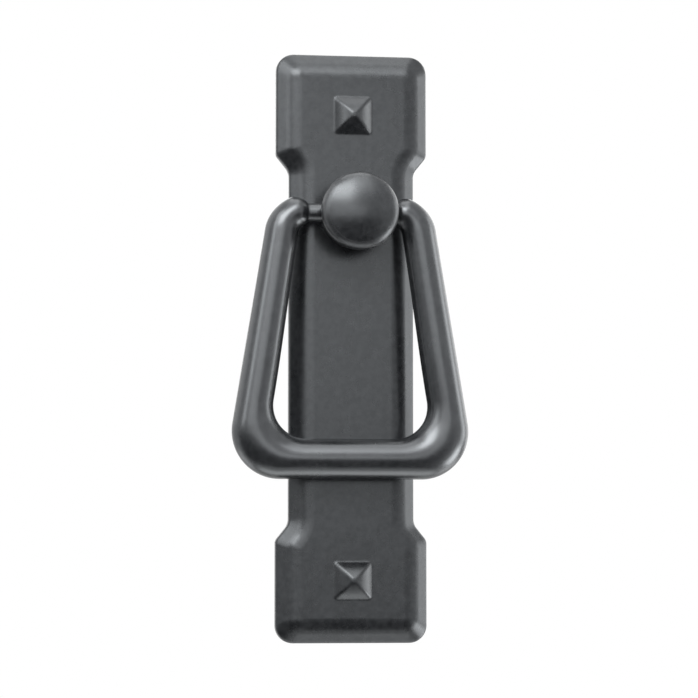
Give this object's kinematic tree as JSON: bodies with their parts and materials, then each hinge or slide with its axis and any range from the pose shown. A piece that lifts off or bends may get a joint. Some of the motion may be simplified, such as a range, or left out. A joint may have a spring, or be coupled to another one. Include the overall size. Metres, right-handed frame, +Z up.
{
  "type": "drop knob",
  "caption": "Drop knob for a drawer or door: long bevelled backplate with pyramid studs, domed post and a hanging trapezoid bail in satin black metal.",
  "frame": {"origin": "where the axis of the fixing screw meets the plane of the backplate's back", "axes": "+Z up along the backplate, +Y into the drawer front, +X to the right seen from the front"},
  "size_m": [0.04, 0.0138, 0.1001],
  "materials": {
    "satin_black": "satin black coating on cast metal"
  },
  "bodies": {
    "plate_and_post": {"backplate": "satin_black", "knob_post": "satin_black"},
    "bail": {"bail": "satin_black"}
  },
  "joints": [
    {"name": "bail_swing", "type": "hinge", "parent": "plate_and_post", "child": "bail", "pos_m": [0, -0.00695, 0], "axis": [-1, 0, 0], "range_deg": [0, 180]}
  ]
}
